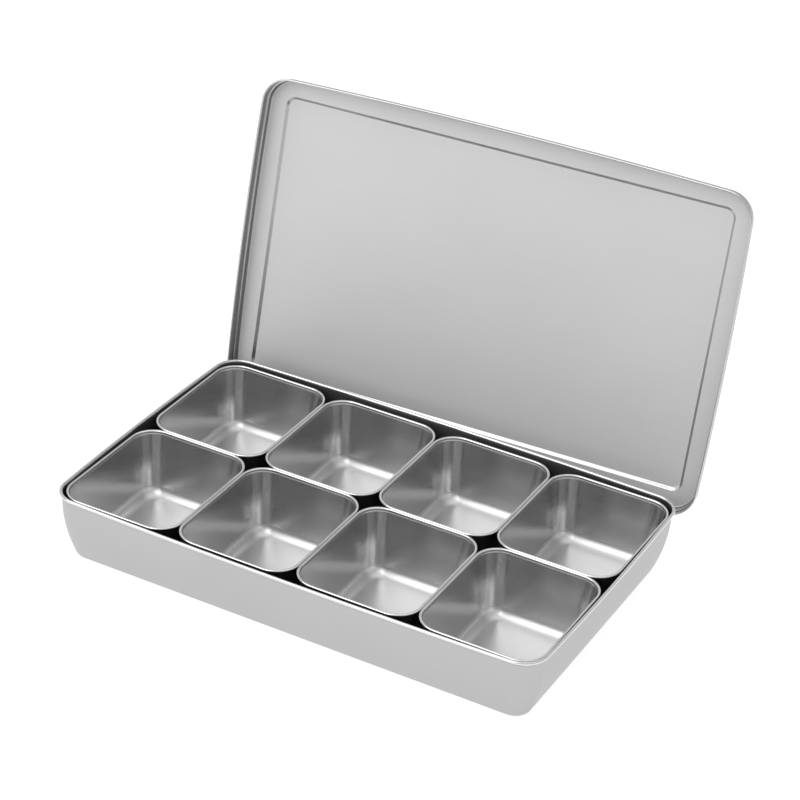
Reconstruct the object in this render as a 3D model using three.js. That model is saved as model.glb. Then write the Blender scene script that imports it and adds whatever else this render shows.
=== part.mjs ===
// Rectangular stainless-steel condiment box: one tray, eight lift-out cups in
// two rows of four, and one loose pressed lid that stands open behind the tray.
// Millimetres. +Z up, X along the tray's long side, Y from the front to the back.
// Origin: middle of the tray's flat underside, on the surface the tray stands on.
import * as THREE from 'three';

// ---------------------------------------------------------------- dimensions
const PITCH_X = 95.0;        // cup spacing along the long side
const PITCH_Y = 117.5;       // cup spacing front to back
const COLUMNS = 4;

// tray, measured on the crest line of its rolled rim
const TRAY_HALF_X = 191.6;
const TRAY_HALF_Y = 121.7;
const TRAY_CORNER = 19.4;    // crest corner radius
const TRAY_TOP = 54.0;       // crest height
const TRAY_SHEET = 0.5;
const TRAY_BEAD = 1.25;      // radius of the rolled rim
const TRAY_ROLL_OUT = -0.25; // middle of the roll, against the crest line
const TRAY_WALL_TOP = 1.0;   // outer wall under the roll, inside the crest line
const TRAY_WALL_CURVE = 8.6; // how far the wall draws in from there to the foot
const TRAY_WALL_POWER = 2.45;
const TRAY_FOOT_FILLET = 3.2;
const TRAY_FOOT_CORNER = 12.4;
const TRAY_MIN_CORNER = 5.0;
const BOW_LONG = 2.5;        // the long sides bulge outward by this much at mid length
const BOW_SHORT = 1.6;

// cups, measured on the crest line of their rolled rims
const CUP_HALF_X = 46.35;
const CUP_HALF_Y = 57.6;
const CUP_CORNER = 18.3;
const CUP_RIM = 51.8;        // crest height in the tray
const CUP_SHEET = 0.6;
const CUP_BEAD = 1.0;
const CUP_FLOOR = 1.4;       // inside of the floor
const CUP_FILLET = 9.0;
const CUP_DRAFT = 9.5;       // degrees
const CUP_CORNER_TAPER = 0.7;

// lid, in its own frame: face plane at z = 0, open side toward +z
const LID_SHEET = 0.6;
const LID_UPPER = 0.3;       // inner face of the upper wall, outside the crest line
const LID_SKIRT = 1.3;       // inner face of the skirt
const LID_SHELF = 5.0;       // depth of the shelf that sits on the tray's rim
const LID_DEPTH = 12.4;
const LID_BEAD = 0.8;
const LID_FILLET = 1.6;
const PRESS_HALF_X = 178.2;  // middle of the slope round the pressed centre panel
const PRESS_HALF_Y = 108.4;
const PRESS_SLOPE = 2.2;
const PRESS_STEP = 1.8;
const PRESS_CORNER = 8.0;

// where the open lid stands
const LID_AT = [-2.0397, 166.399, 147.515];
const LID_YAW = 3.294;
const LID_LEAN = 11.292;
const LID_ROLL = -0.319;

const rad = (d) => (d * Math.PI) / 180;

// ---------------------------------------------------------------- geometry
// One closed loop round a rounded rectangle whose sides may bulge outward.
function loop(hx, hy, r, bowX, bowY, z, nc, nx, ny) {
  const pts = [];
  const corners = [
    [hx - r, -hy + r, -90, ny, bowX],
    [hx - r, hy - r, 0, nx, bowY],
    [-hx + r, hy - r, 90, ny, bowX],
    [-hx + r, -hy + r, 180, nx, bowY],
  ];
  corners.forEach(([cx, cy, a0, n, bow], i) => {
    for (let k = 0; k <= nc; k++) {
      const a = rad(a0 + (90 * k) / nc);
      pts.push([cx + r * Math.cos(a), cy + r * Math.sin(a), z]);
    }
    const a = rad(a0 + 90), ux = Math.cos(a), uy = Math.sin(a);
    const [ex, ey] = corners[(i + 1) % 4];
    for (let k = 1; k < n; k++) {
      const u = k / n, s = 4 * u * (1 - u) * bow;
      pts.push([cx + (ex - cx) * u + (r + s) * ux, cy + (ey - cy) * u + (r + s) * uy, z]);
    }
  });
  return pts;
}

// A closed sheet body: loops joined in order, both ends closed by a flat cap.
// The order runs from the middle of the floor's upper side, out and over the
// rim, and back to the middle of the floor's lower side.
function sheetBody(loops) {
  const n = loops[0].length;
  const pos = [];
  loops.forEach((l) => l.forEach((p) => pos.push(...p)));
  const first = pos.length / 3;
  pos.push(0, 0, loops[0][0][2]);
  pos.push(0, 0, loops[loops.length - 1][0][2]);
  const idx = [];
  for (let i = 0; i < n; i++) idx.push(first, i, (i + 1) % n);
  for (let k = 0; k + 1 < loops.length; k++) {
    for (let i = 0; i < n; i++) {
      const j = (i + 1) % n, a = k * n, b = (k + 1) * n;
      idx.push(a + i, b + i, b + j, a + i, b + j, a + j);
    }
  }
  const last = (loops.length - 1) * n;
  for (let i = 0; i < n; i++) idx.push(first + 1, last + ((i + 1) % n), last + i);
  const g = new THREE.BufferGeometry();
  g.setAttribute('position', new THREE.Float32BufferAttribute(pos, 3));
  g.setIndex(idx);
  g.computeVertexNormals();
  return g;
}

// Points [offset, z] of a drawn wall: floor fillet, drafted wall, rolled rim.
// Inner side first, outer side on the way back.
function drawnWall({ top, bead, sheet, draft, floor, fillet, steps }) {
  const d = rad(draft);
  const T = [-bead, top - bead];
  const pz = floor + fillet - fillet * Math.sin(d);
  const s = (T[1] - pz) / Math.cos(d);
  const P = [T[0] - s * Math.sin(d), pz];
  const C = [P[0] - fillet * Math.cos(d), floor + fillet];
  const arc = (r, k) => {
    const a = rad(-90) + (rad(90) - d) * (k / steps);
    return [C[0] + r * Math.cos(a), C[1] + r * Math.sin(a)];
  };
  const inner = [], outer = [];
  for (let k = 0; k <= steps; k++) inner.push(arc(fillet, k));
  for (let k = steps; k >= 0; k--) outer.push(arc(fillet + sheet, k));
  const rim = [];
  for (const a of [180, 135, 90, 45, 0, -50]) {
    rim.push([bead * Math.cos(rad(a)), top - bead + bead * Math.sin(rad(a))]);
  }
  rim.push([T[0] + sheet * Math.cos(d), T[1] - sheet * Math.sin(d) - bead * 0.9]);
  return { inner, rim, outer };
}

// ---------------------------------------------------------------- materials
const steel = (color, roughness) =>
  new THREE.MeshStandardMaterial({ color, roughness, metalness: 1.0 });
const TRAY_STEEL = steel(0xc6c6c5, 0.42);
const CUP_STEEL = steel(0xcfcecc, 0.3);
const LID_STEEL = steel(0xc9c9c9, 0.4);

// ---------------------------------------------------------------- cup
function cupGeometry() {
  const w = drawnWall({
    top: CUP_RIM, bead: CUP_BEAD, sheet: CUP_SHEET, draft: CUP_DRAFT,
    floor: CUP_FLOOR, fillet: CUP_FILLET, steps: 4,
  });
  const loops = [...w.inner, ...w.rim, ...w.outer].map(([o, z]) =>
    loop(CUP_HALF_X + o, CUP_HALF_Y + o, CUP_CORNER + (o < 0 ? CUP_CORNER_TAPER : 1) * o, 0, 0, z, 6, 1, 1));
  return sheetBody(loops);
}

// ---------------------------------------------------------------- tray
// Outer wall [offset, z, corner radius] from the roll down to the floor: near
// upright under the roll, curving in toward a small fillet at the foot.
function trayWall(n, steps) {
  const zt = TRAY_TOP - 2.0 * TRAY_BEAD, zf = TRAY_FOOT_FILLET;
  const out = [];
  for (let k = 0; k <= n; k++) {
    const u = k / n;
    const o = -TRAY_WALL_TOP - TRAY_WALL_CURVE * Math.pow(u, TRAY_WALL_POWER);
    const top = TRAY_CORNER - TRAY_WALL_TOP;
    out.push([o, zt - u * (zt - zf), top - (top - TRAY_FOOT_CORNER) * Math.pow(u, 4)]);
  }
  const [o, , r] = out[n];
  const slope = Math.atan((TRAY_WALL_POWER * TRAY_WALL_CURVE) / (zt - zf));
  for (let k = 1; k <= steps; k++) {
    const a = slope + ((Math.PI / 2 - slope) * k) / steps;
    const d = (TRAY_FOOT_FILLET * (Math.cos(slope) - Math.cos(a))) / (1 - Math.sin(slope));
    const z = (TRAY_FOOT_FILLET * (1 - Math.sin(a))) / (1 - Math.sin(slope));
    out.push([o - d, z, r - 0.7 * d]);
  }
  return out;
}

function trayGeometry() {
  const wall = trayWall(7, 4);
  const outer = wall.map(([o, z, r]) => [o, z, r]);
  const inner = wall.map(([o, z, r], i) => {
    const [ao, az] = wall[Math.max(0, i - 1)], [bo, bz] = wall[Math.min(wall.length - 1, i + 1)];
    let nx = az - bz, nz = bo - ao;
    if (i === wall.length - 1) { nx = 0; nz = -1; }
    const m = Math.hypot(nx, nz);
    return [o - (TRAY_SHEET * nx) / m, z - (TRAY_SHEET * nz) / m, r - (TRAY_SHEET * nx) / m];
  });
  const rim = [];
  for (const a of [180, 135, 90, 45, 0, -45]) {
    const o = TRAY_ROLL_OUT + TRAY_BEAD * Math.cos(rad(a));
    rim.push([o, TRAY_TOP - TRAY_BEAD + TRAY_BEAD * Math.sin(rad(a)), TRAY_CORNER + o]);
  }
  const at = ([o, z, r]) => {
    const f = Math.max(0, Math.min(1, z / TRAY_TOP));
    return loop(TRAY_HALF_X + o, TRAY_HALF_Y + o, Math.max(TRAY_MIN_CORNER, r),
      BOW_SHORT * f, BOW_LONG * f, z, 7, 9, 7);
  };
  return sheetBody([...inner.reverse(), ...rim, ...outer].map(at));
}

// ---------------------------------------------------------------- lid
function lidGeometry() {
  const t = LID_SHEET, f = LID_FILLET;
  const wall = (o, z) => loop(TRAY_HALF_X + o, TRAY_HALF_Y + o, TRAY_CORNER + o,
    BOW_SHORT, BOW_LONG, z, 7, 10, 8);
  const press = (d, z) => loop(PRESS_HALF_X + d, PRESS_HALF_Y + d, PRESS_CORNER + d,
    0, 0, z, 7, 10, 8);
  const h = PRESS_SLOPE / 2, b = LID_BEAD;
  const bend = (o, z, r, from, to, n) => {
    const out = [];
    for (let k = 0; k <= n; k++) {
      const a = rad(from + ((to - from) * k) / n);
      out.push(wall(o + r * Math.cos(a), z + r * Math.sin(a)));
    }
    return out;
  };
  const edge = [];
  for (const a of [180, 135, 90, 45, 0, -60]) {
    edge.push(wall(LID_SKIRT + b + b * Math.cos(rad(a)), LID_DEPTH - b + b * Math.sin(rad(a))));
  }
  const loops = [
    press(-h, -PRESS_STEP),
    press(h, 0),
    ...bend(LID_UPPER - f, f, f, -90, 0, 3),
    wall(LID_UPPER, LID_SHELF - 0.15),
    wall(LID_UPPER + 0.15, LID_SHELF),
    wall(LID_SKIRT - 0.3, LID_SHELF),
    wall(LID_SKIRT, LID_SHELF + 0.3),
    ...edge,
    wall(LID_SKIRT + t, LID_DEPTH - 1.9 * b),
    wall(LID_SKIRT + t, LID_SHELF + 0.1),
    wall(LID_SKIRT + t - 0.6, LID_SHELF - t),
    wall(LID_UPPER + t + 0.1, LID_SHELF - t - 0.1),
    ...bend(LID_UPPER - f, f, f + t, 0, -90, 3),
    press(h + 0.2, -t),
    press(-h + 0.2, -PRESS_STEP - t),
  ];
  return sheetBody(loops);
}

// ---------------------------------------------------------------- assembly
const box = new THREE.Group();
box.name = 'condiment_box';

const tray = new THREE.Mesh(trayGeometry(), TRAY_STEEL);
tray.name = 'tray';
box.add(tray);

const cup = cupGeometry();
[['front', -0.5], ['back', 0.5]].forEach(([row, y]) => {
  for (let i = 0; i < COLUMNS; i++) {
    const m = new THREE.Mesh(cup, CUP_STEEL);
    m.name = `cup_${row}_${i + 1}`;
    m.position.set((i - (COLUMNS - 1) / 2) * PITCH_X, y * PITCH_Y, 0);
    box.add(m);
  }
});

const stand = new THREE.Group();
stand.name = 'lid_place';
stand.position.set(...LID_AT);
stand.rotation.z = rad(LID_YAW);
const lean = new THREE.Group();
lean.name = 'lid_lean';
lean.rotation.x = rad(90 - LID_LEAN);
stand.add(lean);
const lid = new THREE.Mesh(lidGeometry(), LID_STEEL);
lid.name = 'lid';
lid.rotation.z = rad(LID_ROLL);
lean.add(lid);
box.add(stand);

export default box;
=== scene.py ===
import math

import bpy
from mathutils import Matrix, Vector


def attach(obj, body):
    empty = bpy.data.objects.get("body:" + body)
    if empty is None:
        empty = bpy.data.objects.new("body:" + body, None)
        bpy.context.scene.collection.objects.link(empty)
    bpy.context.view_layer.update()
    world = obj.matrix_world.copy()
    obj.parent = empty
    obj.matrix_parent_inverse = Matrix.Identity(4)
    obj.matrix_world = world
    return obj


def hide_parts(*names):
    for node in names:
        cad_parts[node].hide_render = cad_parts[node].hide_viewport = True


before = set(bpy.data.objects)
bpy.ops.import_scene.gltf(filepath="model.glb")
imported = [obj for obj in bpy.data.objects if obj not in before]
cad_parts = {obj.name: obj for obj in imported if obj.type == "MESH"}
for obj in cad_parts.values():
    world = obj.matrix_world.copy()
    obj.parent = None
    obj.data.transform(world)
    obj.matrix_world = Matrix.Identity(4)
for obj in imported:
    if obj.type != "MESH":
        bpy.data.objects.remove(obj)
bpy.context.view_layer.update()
MM = 0.001

# ------------------------------------------------------------------ dimensions (mm)
PITCH_X, PITCH_Y, COLUMNS = 95.0, 117.5, 4

TRAY_HALF_X, TRAY_HALF_Y = 191.6, 121.7
TRAY_CORNER, TRAY_TOP = 19.4, 54.0
TRAY_SHEET, TRAY_BEAD, TRAY_ROLL_OUT = 0.5, 1.25, -0.25
TRAY_WALL_TOP, TRAY_WALL_CURVE, TRAY_WALL_POWER = 1.0, 8.6, 2.45
TRAY_FOOT_FILLET, TRAY_FOOT_CORNER = 3.2, 12.4
TRAY_MIN_CORNER = 5.0
BOW_LONG, BOW_SHORT = 2.5, 1.6

CUP_HALF_X, CUP_HALF_Y, CUP_CORNER = 46.35, 57.6, 18.3
CUP_RIM, CUP_SHEET, CUP_BEAD, CUP_CREASE = 51.8, 0.6, 1.0, 0.25
CUP_FLOOR, CUP_FILLET, CUP_DRAFT, CUP_CORNER_TAPER = 1.4, 9.0, 9.5, 0.7

LID_SHEET, LID_UPPER, LID_SKIRT = 0.6, 0.3, 1.3
LID_SHELF, LID_DEPTH, LID_BEAD, LID_FILLET = 5.0, 12.4, 0.8, 1.6
PRESS_HALF_X, PRESS_HALF_Y = 178.2, 108.4
PRESS_SLOPE, PRESS_STEP, PRESS_CORNER = 2.2, 1.8, 8.0

LID_AT = (-2.0397, 166.399, 147.515)
LID_YAW, LID_LEAN, LID_ROLL = 3.294, 11.292, -0.319


def rad(d):
    return d * math.pi / 180.0


# ------------------------------------------------------------------ camera
F_PX, AZ, EL, ROLL = 2625.529, 26.94, 30.927, 3.755
T = Vector((-3.17, -45.393, 1877.958))
CENTRE_X, CENTRE_Y = 373.485, 437.017


def make_camera():
    a, e, r = rad(AZ), rad(EL), rad(ROLL)
    back = Vector((math.sin(a) * math.cos(e), -math.cos(a) * math.cos(e), math.sin(e)))
    fwd = -back
    right = Vector((math.cos(a), math.sin(a), 0))
    up = right.cross(fwd)
    x = math.cos(r) * right + math.sin(r) * up
    y = -math.sin(r) * right + math.cos(r) * up
    at = -(x * T.x + y * T.y + fwd * T.z)
    at.z += 51.8
    cam = bpy.data.cameras.new("camera")
    cam.sensor_width = 36.0
    cam.lens = F_PX / 800.0 * 36.0
    cam.shift_x = (400.0 - CENTRE_X) / 800.0
    cam.shift_y = (CENTRE_Y - 400.0) / 800.0
    cam.clip_start, cam.clip_end = 0.05, 50.0
    o = bpy.data.objects.new("camera", cam)
    bpy.context.scene.collection.objects.link(o)
    m = Matrix.Identity(4)
    for i, col in enumerate((x, y, -fwd)):
        for k in range(3):
            m[k][i] = col[k]
    m.translation = at * MM
    o.matrix_world = m
    bpy.context.scene.camera = o
    return o


make_camera()


# ------------------------------------------------------------------ sheet metal
def arc(cx, cz, r, a0, a1, n):
    return [
        (cx + r * math.cos(rad(a0 + (a1 - a0) * k / n)), cz + r * math.sin(rad(a0 + (a1 - a0) * k / n)))
        for k in range(n + 1)
    ]


def supported(points, gap=0.35):
    """Adds a point close to each end of every long straight run, which keeps the shading of flats flat."""
    out = [points[0]]
    for p, q in zip(points, points[1:]):
        d = math.dist(p[:2], q[:2])
        if d > 4 * gap:
            for s in (gap / d, 1 - gap / d):
                out.append((p[0] + (q[0] - p[0]) * s, p[1] + (q[1] - p[1]) * s, p[2]))
        out.append(q)
    return out


def ring(hx, hy, r, bow_x, bow_y, nc, nx, ny):
    """One loop round a rounded rectangle whose sides may bulge, with each point's outward direction."""
    pts = []
    corners = [
        (hx - r, -hy + r, -90, ny, bow_x),
        (hx - r, hy - r, 0, nx, bow_y),
        (-hx + r, hy - r, 90, ny, bow_x),
        (-hx + r, -hy + r, 180, nx, bow_y),
    ]
    for i, (cx, cy, a0, n, bow) in enumerate(corners):
        for k in range(nc + 1):
            a = rad(a0 + 90 * k / nc)
            pts.append((cx + r * math.cos(a), cy + r * math.sin(a), math.cos(a), math.sin(a)))
        a = rad(a0 + 90)
        ux, uy = math.cos(a), math.sin(a)
        ex, ey = corners[(i + 1) % 4][:2]
        us = [0.004] + [k / n for k in range(1, n)] + [0.996]
        for u in us:
            s = 4 * u * (1 - u) * bow
            pts.append((cx + (ex - cx) * u + (r + s) * ux, cy + (ey - cy) * u + (r + s) * uy, ux, uy))
    return pts


def sheet_body(name, rows, groups, place=None, shift=(0, 0), flat_rings=10):
    """A closed sheet body from rows [(ring, z, group)], floor side first, out over the rim and back under.
    groups is the list of materials; a row's group is the material of the band that starts at it."""
    n = len(rows[0][0])
    # flat middles, filled by shrinking rings
    def middle(row, order):
        pts, z, g = row
        out = []
        for k in range(1, flat_rings):
            s = 1 - k / flat_rings
            out.append(([(x * s, y * s, ux, uy) for x, y, ux, uy in pts], z, g))
        return out[::-1] if order == "first" else out

    first = middle(rows[0], "first")
    last = middle(rows[-1], "last")
    full = first + rows + last
    # distance along the sheet, for the grain
    run = [0.0]
    for (p, z, _), (q, w, _) in zip(rows, rows[1:]):
        k = n // 8
        run.append(run[-1] + math.dist((p[k][0], p[k][1], z), (q[k][0], q[k][1], w)))
    top = max(range(len(rows)), key=lambda i: rows[i][1])
    run = [s if i <= top else max(0.0, 2 * run[top] - s) for i, s in enumerate(run)]
    base = rows[0][0]
    verts, uvs, faces, mats = [], [], [], []
    for i, (pts, z, g) in enumerate(full):
        k = i - len(first)
        for j, (x, y, ux, uy) in enumerate(pts):
            verts.append(((x + shift[0]) * MM, (y + shift[1]) * MM, z * MM))
            if 0 <= k < len(rows):
                bx, by = base[j][0], base[j][1]
                uvs.append(((bx + ux * run[k] + shift[0]) * MM, (by + uy * run[k] + shift[1]) * MM))
            else:
                uvs.append(((x + shift[0]) * MM, (y + shift[1]) * MM))
    c0 = len(verts)
    verts.append((shift[0] * MM, shift[1] * MM, full[0][1] * MM))
    verts.append((shift[0] * MM, shift[1] * MM, full[-1][1] * MM))
    uvs += [(shift[0] * MM, shift[1] * MM)] * 2
    for j in range(n):
        faces.append((c0, j, (j + 1) % n))
        mats.append(full[0][2])
    for i in range(len(full) - 1):
        a, b = i * n, (i + 1) * n
        for j in range(n):
            k = (j + 1) % n
            faces.append((a + j, b + j, b + k, a + k))
            mats.append(full[i][2])
    e = (len(full) - 1) * n
    for j in range(n):
        faces.append((c0 + 1, e + (j + 1) % n, e + j))
        mats.append(full[-1][2])
    me = bpy.data.meshes.new(name)
    me.from_pydata(verts, [], faces)
    for m in groups:
        me.materials.append(m)
    me.polygons.foreach_set("material_index", mats)
    me.polygons.foreach_set("use_smooth", [True] * len(faces))
    layer = me.uv_layers.new(name="sheet")
    flat = []
    for loop_ in me.loops:
        flat.extend(uvs[loop_.vertex_index])
    layer.data.foreach_set("uv", flat)
    me.update()
    o = bpy.data.objects.new(name, me)
    bpy.context.scene.collection.objects.link(o)
    if place is not None:
        o.matrix_world = place
    return o


def drawn_wall(top, bead, sheet, draft, floor, fillet, steps, g_floor, g_wall, g_rim, g_out, crease=0.0):
    """[(offset, z, group)] of a drawn wall with a floor fillet, a drafted wall and a rolled rim."""
    d = rad(draft)
    tx, tz = -bead * math.cos(d), top - bead + bead * math.sin(d)
    pz = floor + fillet - fillet * math.sin(d)
    s = (tz - pz) / math.cos(d)
    px = tx - s * math.sin(d)
    cx, cz = px - fillet * math.cos(d), floor + fillet
    inner = [(x, z, g_floor) for x, z in arc(cx, cz, fillet, -90, -draft, steps)]
    inner[-1] = (*inner[-1][:2], g_wall)
    rim = [(x, z, g_rim) for x, z in arc(0, top - bead, bead, 180 - draft, -105, 16)]
    if crease:
        # the roll turns in a little under itself before the wall starts
        zc = top - bead
        # the crease band under the roll takes the g_out material, for the cups the darkened outside steel: a painted
        # shadow line inside the crest
        rim = [(tx - (tz - zc + 1.45) * math.tan(d), zc - 1.45, g_wall), (-bead + crease, zc - 0.8, g_out)]
        rim += [(x, z, g_out if k < 2 else g_rim) for k, (x, z) in enumerate(arc(0, zc, bead, 212, -105, 18))]
    oz = top - 2.12 * bead
    ox = tx + sheet / math.cos(d) - (tz - oz) * math.tan(d)
    outer = [(x, z, g_out) for x, z in arc(cx, cz, fillet + sheet, -draft, -90, steps)]
    return supported(inner + rim + [(ox, oz, g_out)] + outer)


# ------------------------------------------------------------------ materials
def new_material(name):
    m = bpy.data.materials.new(name)
    m.use_nodes = True
    nt = m.node_tree
    nt.nodes.clear()
    out = nt.nodes.new("ShaderNodeOutputMaterial")
    b = nt.nodes.new("ShaderNodeBsdfPrincipled")
    nt.links.new(b.outputs[0], out.inputs[0])
    return m, nt, b


def node(nt, kind, **inputs):
    n = nt.nodes.new(kind)
    for k, v in inputs.items():
        if k.startswith("_"):
            setattr(n, k[1:], v)
        else:
            n.inputs[k.replace("__", " ")].default_value = v
    return n


def steel(name, tone, rough, spread, grain=(10.0, 1500.0), bump=0.06, cloud=0.05, tint=(1.0, 1.0, 1.0), aniso=0.0,
          streaks=1.0, metal=1.0):
    """Satin steel: fine streaks along the sheet's length, soft uneven tone and roughness, faint waviness."""
    m, nt, b = new_material(name)
    link = nt.links.new
    b.inputs["Metallic"].default_value = metal
    uv = node(nt, "ShaderNodeUVMap", _uv_map="sheet")
    mp = node(nt, "ShaderNodeMapping")
    mp.inputs["Scale"].default_value = (grain[0], grain[1], 1.0)
    link(uv.outputs[0], mp.inputs["Vector"])
    streak = node(nt, "ShaderNodeTexNoise", Scale=1.0, Detail=5.0, Roughness=0.62)
    link(mp.outputs[0], streak.inputs["Vector"])
    obj = node(nt, "ShaderNodeTexCoord")
    patch = node(nt, "ShaderNodeTexNoise", Scale=13.0, Detail=3.0, Roughness=0.5)
    link(obj.outputs["Object"], patch.inputs["Vector"])
    # tone
    a = node(nt, "ShaderNodeMapRange")
    a.inputs["From Min"].default_value, a.inputs["From Max"].default_value = 0.3, 0.7
    a.inputs["To Min"].default_value, a.inputs["To Max"].default_value = 1 - cloud, 1 + cloud * 0.4
    link(patch.outputs["Fac"], a.inputs["Value"])
    s = node(nt, "ShaderNodeMapRange")
    s.inputs["From Min"].default_value, s.inputs["From Max"].default_value = 0.3, 0.7
    s.inputs["To Min"].default_value, s.inputs["To Max"].default_value = 1 - 0.035 * streaks, 1 + 0.02 * streaks
    link(streak.outputs["Fac"], s.inputs["Value"])
    mul = node(nt, "ShaderNodeMath", _operation="MULTIPLY")
    link(a.outputs[0], mul.inputs[0])
    link(s.outputs[0], mul.inputs[1])
    col = node(nt, "ShaderNodeVectorMath", _operation="SCALE")
    col.inputs[0].default_value = tuple(tone * t for t in tint)
    link(mul.outputs[0], col.inputs["Scale"])
    link(col.outputs[0], b.inputs["Base Color"])
    # roughness
    r = node(nt, "ShaderNodeMapRange")
    r.inputs["From Min"].default_value, r.inputs["From Max"].default_value = 0.3, 0.7
    r.inputs["To Min"].default_value, r.inputs["To Max"].default_value = rough - spread, rough + spread
    link(streak.outputs["Fac"], r.inputs["Value"])
    r2 = node(nt, "ShaderNodeMath", _operation="MULTIPLY_ADD")
    link(patch.outputs["Fac"], r2.inputs[0])
    r2.inputs[1].default_value = spread * 0.8
    link(r.outputs[0], r2.inputs[2])
    link(r2.outputs[0], b.inputs["Roughness"])
    if aniso:
        b.inputs["Anisotropic"].default_value = aniso
        tg = node(nt, "ShaderNodeTangent", _direction_type="UV_MAP", _uv_map="sheet")
        link(tg.outputs[0], b.inputs["Tangent"])
    # relief
    bp = node(nt, "ShaderNodeBump", Strength=bump, Distance=0.0002)
    link(streak.outputs["Fac"], bp.inputs["Height"])
    wave = node(nt, "ShaderNodeTexNoise", Scale=9.0, Detail=1.0, Roughness=0.4)
    link(obj.outputs["Object"], wave.inputs["Vector"])
    bw = node(nt, "ShaderNodeBump", Strength=0.25, Distance=0.0006)
    link(wave.outputs["Fac"], bw.inputs["Height"])
    link(bp.outputs[0], bw.inputs["Normal"])
    link(bw.outputs[0], b.inputs["Normal"])
    return m


TRAY_SATIN = steel("tray_satin", 0.468, 0.40, 0.04, grain=(12.0, 2600.0), bump=0.03, cloud=0.03)
# the tray's inner sheet is the same steel, darkened as painted shade for the deep gaps round and under the cups
TRAY_INSIDE_PAINTED_SHADE = steel("tray_inside", 0.30, 0.42, 0.05)
# the rolled tray rim: smoother steel, and also a lighter tone than the rest of the sheet, a painted highlight along
# the bead crest
TRAY_RIM_HIGHLIGHT = steel("tray_rim", 0.72, 0.18, 0.03)
CUP_SATIN = steel("cup_satin", 0.585, 0.20, 0.012, grain=(16.0, 1800.0), bump=0.003, cloud=0.05, streaks=0.3)
# the cup floor and its fillet are the same steel as the walls, set a little lighter: painted light on the up-facing
# floor
CUP_BASE = steel("cup_base", 0.63, 0.36, 0.015, grain=(16.0, 1800.0), bump=0.001, cloud=0.05, streaks=0.3)
# the rolled cup rim: polished, smoother steel, and also a lighter tone than the walls, a painted highlight along the
# crest
CUP_RIM_POLISH_AND_HIGHLIGHT = steel("cup_rim", 0.76, 0.17, 0.02, streaks=0.5)
# the cups' outer sheet is the same steel, darkened as painted shade for the gaps between the cups
CUP_OUTSIDE_PAINTED_SHADE = steel("cup_outside", 0.30, 0.36, 0.05)
LID_SATIN = steel("lid_satin", 0.59, 0.48, 0.03, grain=(10.0, 2600.0), bump=0.03, cloud=0.02, tint=(1.0, 0.985, 0.985), metal=0.35)
LID_RIM = steel("lid_rim", 0.55, 0.22, 0.03)
# the pressed slope: same steel darkened as painted shade, for the dark press line
LID_PRESS_PAINTED_SHADE = steel("lid_press_line", 0.44, 0.28, 0.02)
# the flange's inner fillet and shelf corner: same steel darkened as painted shade, for the dark bands along the flange
LID_FLANGE_PAINTED_SHADE = steel("lid_flange_inner", 0.30, 0.24, 0.03)
LID_OUTSIDE = steel("lid_outside", 0.50, 0.42, 0.04, grain=(10.0, 2600.0), bump=0.03, cloud=0.03)


# ------------------------------------------------------------------ tray
def tray_wall(n, steps):
    """Outer wall [(offset, z, corner radius)] from the roll down to the floor."""
    zt, zf = TRAY_TOP - 2.0 * TRAY_BEAD, TRAY_FOOT_FILLET
    top = TRAY_CORNER - TRAY_WALL_TOP
    out = []
    for k in range(n + 1):
        u = k / n
        out.append((-TRAY_WALL_TOP - TRAY_WALL_CURVE * u ** TRAY_WALL_POWER, zt - u * (zt - zf),
                    top - (top - TRAY_FOOT_CORNER) * u ** 4))
    o, _, r = out[-1]
    slope = math.atan(TRAY_WALL_POWER * TRAY_WALL_CURVE / (zt - zf))
    for k in range(1, steps + 1):
        a = slope + (math.pi / 2 - slope) * k / steps
        d = TRAY_FOOT_FILLET * (math.cos(slope) - math.cos(a)) / (1 - math.sin(slope))
        z = TRAY_FOOT_FILLET * (1 - math.sin(a)) / (1 - math.sin(slope))
        out.append((o - d, z, r - 0.7 * d))
    return out


def make_tray():
    wall = tray_wall(22, 12)
    inner = []
    for i, (o, z, r) in enumerate(wall):
        ao, az = wall[max(0, i - 1)][:2]
        bo, bz = wall[min(len(wall) - 1, i + 1)][:2]
        nx, nz = az - bz, bo - ao
        if i == len(wall) - 1:
            nx, nz = 0.0, -1.0
        m = math.hypot(nx, nz)
        inner.append((o - TRAY_SHEET * nx / m, z - TRAY_SHEET * nz / m, r - TRAY_SHEET * nx / m, 1))
    rim = [(TRAY_ROLL_OUT + x, z, TRAY_CORNER + TRAY_ROLL_OUT + x, 2)
           for x, z in arc(0, TRAY_TOP - TRAY_BEAD, TRAY_BEAD, 180, -75, 16)]
    outer = [(o, z, r, 0) for o, z, r in wall]
    rows = []
    for o, z, r, g in inner[::-1] + rim + outer:
        f = max(0.0, min(1.0, z / TRAY_TOP))
        rows.append((ring(TRAY_HALF_X + o, TRAY_HALF_Y + o, max(TRAY_MIN_CORNER, r),
                          BOW_SHORT * f, BOW_LONG * f, 14, 24, 18), z, g))
    o = sheet_body("tray_shell", rows, [TRAY_SATIN, TRAY_INSIDE_PAINTED_SHADE, TRAY_RIM_HIGHLIGHT])
    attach(o, "tray_body")
    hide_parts("tray")
    return o


# ------------------------------------------------------------------ cups
def make_cup(row, i):
    cx, cy = (i - (COLUMNS - 1) / 2) * PITCH_X, (-0.5 if row == "front" else 0.5) * PITCH_Y
    w = drawn_wall(CUP_RIM, CUP_BEAD, CUP_SHEET, CUP_DRAFT, CUP_FLOOR, CUP_FILLET, 16, 1, 0, 2, 3, CUP_CREASE)
    rows = []
    for o, z, g in w:
        r = CUP_CORNER + (CUP_CORNER_TAPER if o < 0 else 1.0) * o
        rows.append((ring(CUP_HALF_X + o, CUP_HALF_Y + o, r, 0, 0, 16, 6, 6), z, g))
    name = f"cup_{row}_{i + 1}"
    o = sheet_body(name + "_shell", rows, [CUP_SATIN, CUP_BASE, CUP_RIM_POLISH_AND_HIGHLIGHT, CUP_OUTSIDE_PAINTED_SHADE], shift=(cx, cy))
    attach(o, name + "_body")
    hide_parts(name)
    return o


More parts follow.
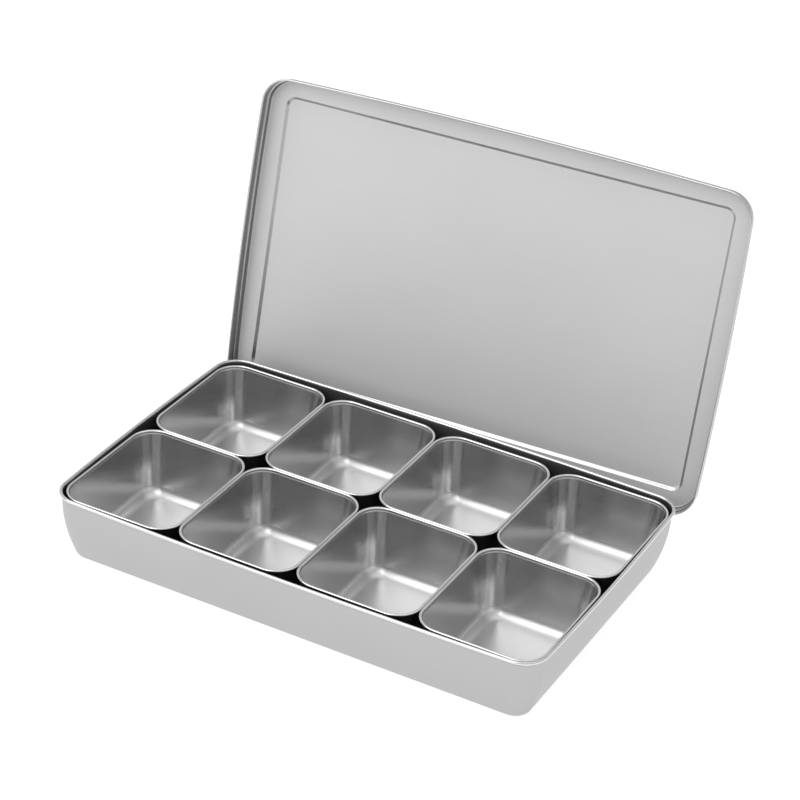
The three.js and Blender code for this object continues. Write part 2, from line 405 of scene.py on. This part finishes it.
# ------------------------------------------------------------------ lid
def make_lid():
    t, f, b, h = LID_SHEET, LID_FILLET, LID_BEAD, PRESS_SLOPE / 2

    def wall(p):
        o, z, g = p
        return (ring(TRAY_HALF_X + o, TRAY_HALF_Y + o, TRAY_CORNER + o, BOW_SHORT, BOW_LONG, 16, 30, 24), z, g)

    def press(p):
        d, z, g = p
        return (ring(PRESS_HALF_X + d, PRESS_HALF_Y + d, PRESS_CORNER + d, 0, 0, 16, 30, 24), z, g)

    # slope round the pressed centre panel, with small bends top and bottom
    ang = math.degrees(math.atan(PRESS_STEP / PRESS_SLOPE))
    rb = 0.9
    q = rb * math.tan(rad(ang / 2))
    up_lo = [(x, z, 2) for x, z in arc(-h - q, -PRESS_STEP + rb, rb, -90, -90 + ang, 5)]
    up_hi = [(x, z, 2) for x, z in arc(h + q, -rb, rb, 90 + ang, 90, 5)]
    under_hi = [(x, z, 4) for x, z in arc(h + q + 0.2, -rb - t, rb, 90, 90 + ang, 5)]
    under_lo = [(x, z, 4) for x, z in arc(-h - q + 0.2, -PRESS_STEP - t + rb, rb, -90 + ang, -90, 5)]
    edge = (
        [(x, z, 0 if k < 3 else 3) for k, (x, z) in enumerate(arc(LID_UPPER - f, f, f, -90, 0, 8))]
        + [(LID_UPPER, LID_SHELF - 0.35, 1)]
        + [(x, z, 1) for x, z in arc(LID_UPPER + 0.3, LID_SHELF - 0.3, 0.3, 180, 90, 4)]
        + [(x, z, 1 if k < 2 else 3) for k, (x, z) in enumerate(arc(LID_SKIRT - 0.3, LID_SHELF + 0.3, 0.3, -90, 0, 4))]
        + [(x, z, 1) for x, z in arc(LID_SKIRT + b, LID_DEPTH - b, b, 180, -100, 16)]
        + [(LID_SKIRT + t, LID_DEPTH - 2.1 * b, 4)]
        + [(x, z, 4) for x, z in arc(LID_SKIRT + t - 0.6, LID_SHELF + 0.05, 0.6, 0, -90, 5)]
        + [(LID_UPPER + t + 0.1, LID_SHELF - t - 0.1, 4)]
        + [(x, z, 4) for x, z in arc(LID_UPPER - f, f, f + t, 0, -90, 8)]
    )
    rows = [press(p) for p in supported(up_lo + up_hi)]
    rows += [wall(p) for p in supported(edge)]
    rows += [press(p) for p in supported(under_hi + under_lo)]
    place = Matrix.Translation(Vector(LID_AT) * MM) @ Matrix.Rotation(rad(LID_YAW), 4, "Z") \
        @ Matrix.Rotation(rad(90 - LID_LEAN), 4, "X") @ Matrix.Rotation(rad(LID_ROLL), 4, "Z")
    o = sheet_body("lid_shell", rows, [LID_SATIN, LID_RIM, LID_PRESS_PAINTED_SHADE, LID_FLANGE_PAINTED_SHADE, LID_OUTSIDE], place=place, flat_rings=16)
    # the flat parts are satin; only the slope itself takes the darker press-line steel, a painted shade line, and its
    # lower side takes the lighter rim steel, a painted highlight
    for p in o.data.polygons:
        if p.material_index == 2:
            c = p.center / MM
            d = max(abs(c.x) - PRESS_HALF_X, abs(c.y) - PRESS_HALF_Y)
            if abs(d) > h:
                p.material_index = 0
            # the lower side of the slope gets the lighter rim steel: a painted highlight
            elif c.y < -PRESS_HALF_Y + 2.5:
                p.material_index = 1
    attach(o, "lid_body")
    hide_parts("lid")
    return o


make_tray()
for _row in ("front", "back"):
    for _i in range(COLUMNS):
        make_cup(_row, _i)
make_lid()


# ------------------------------------------------------------------ stage and light
def make_stage():
    me = bpy.data.meshes.new("floor")
    s = 6.0
    me.from_pydata([(-s, -s, -0.0003), (s, -s, -0.0003), (s, s, -0.0003), (-s, s, -0.0003)], [], [(0, 1, 2, 3)])
    o = bpy.data.objects.new("floor", me)
    bpy.context.scene.collection.objects.link(o)
    m, nt, b = new_material("floor_white")
    b.inputs["Base Color"].default_value = (0.4, 0.4, 0.4, 1)
    b.inputs["Emission Color"].default_value = (1, 1, 1, 1)
    b.inputs["Emission Strength"].default_value = 0.8
    b.inputs["Roughness"].default_value = 0.9
    b.inputs["Specular IOR Level"].default_value = 0.1
    me.materials.append(m)


def area(name, at, aim, size, radiance, color=(1, 1, 1)):
    l = bpy.data.lights.new(name, "AREA")
    l.shape = "RECTANGLE"
    l.size, l.size_y = size
    l.energy = radiance * math.pi * size[0] * size[1]
    l.color = color
    o = bpy.data.objects.new(name, l)
    bpy.context.scene.collection.objects.link(o)
    o.location = at
    o.rotation_euler = (Vector(aim) - Vector(at)).to_track_quat("-Z", "Y").to_euler()
    return o


make_stage()
world = bpy.data.worlds.new("studio")
bpy.context.scene.world = world
world.use_nodes = True
bg = world.node_tree.nodes["Background"]
bg.inputs["Color"].default_value = (1, 1, 1, 1)
bg.inputs["Strength"].default_value = 0.7
area("overhead", (-0.1, 0.3, 1.9), (0, 0, 0), (1.4, 1.4), 0.5)
area("front_top", (-0.8, -1.3, 1.65), (0, 0, 0.03), (2.4, 1.9), 1.8)

bpy.context.scene.view_settings.view_transform = "Standard"
bpy.context.scene.view_settings.look = "None"
